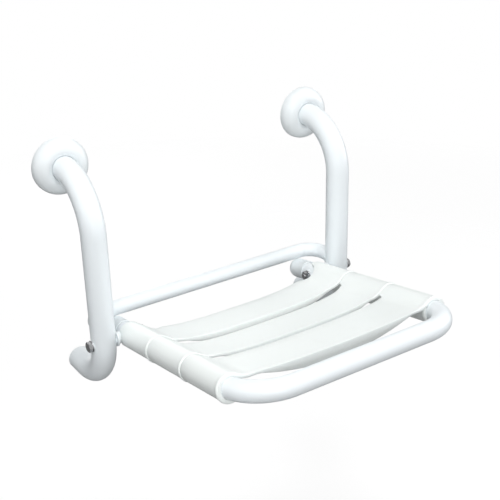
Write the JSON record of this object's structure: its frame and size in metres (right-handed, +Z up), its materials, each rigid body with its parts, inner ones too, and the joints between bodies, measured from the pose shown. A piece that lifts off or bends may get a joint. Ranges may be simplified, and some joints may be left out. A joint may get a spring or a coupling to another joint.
{
  "type": "folding shower seat",
  "caption": "Wall-mounted folding shower seat: bent tube arms on round flanges carry a hinged tube frame with moulded slats.",
  "frame": {"origin": "on the wall, midway between the centres of the two wall plates", "axes": "+X runs along the wall, +Y points into the wall, +Z points up; the seat's front is towards -Y"},
  "size_m": [0.475, 0.4028, 0.3473],
  "materials": {
    "painted_tube": "gloss white powder coat",
    "cover_plastic": "smooth white moulding",
    "slat_plastic": "fine-grained white moulding",
    "buffer_rubber": "matt pale grey",
    "bright_steel": "bright plated"
  },
  "bodies": {
    "wall_frame": {"left_wall_plate": "painted_tube", "right_wall_plate": "painted_tube", "left_arm": "painted_tube", "right_arm": "painted_tube", "left_flange_cover": "cover_plastic", "right_flange_cover": "cover_plastic", "left_foot_cap": "cover_plastic", "right_foot_cap": "cover_plastic", "stop_bar": "painted_tube", "arm_barrels": "painted_tube", "pivot_spacers": "cover_plastic", "pivot_washers": "bright_steel", "pivot_bolts": "bright_steel", "pivot_nuts": "bright_steel"},
    "seat": {"seat_frame": "painted_tube", "left_rail_buffer": "buffer_rubber", "right_rail_buffer": "buffer_rubber", "rail_barrels": "painted_tube", "pivot_bushes": "cover_plastic", "rear_slat": "slat_plastic", "middle_slat": "slat_plastic", "front_slat": "slat_plastic"}
  },
  "joints": [
    {"name": "seat_fold", "type": "hinge", "parent": "wall_frame", "child": "seat", "pos_m": [0, -0.09, -0.226], "axis": [-1, 0, 0], "range_deg": [0, 93]}
  ]
}
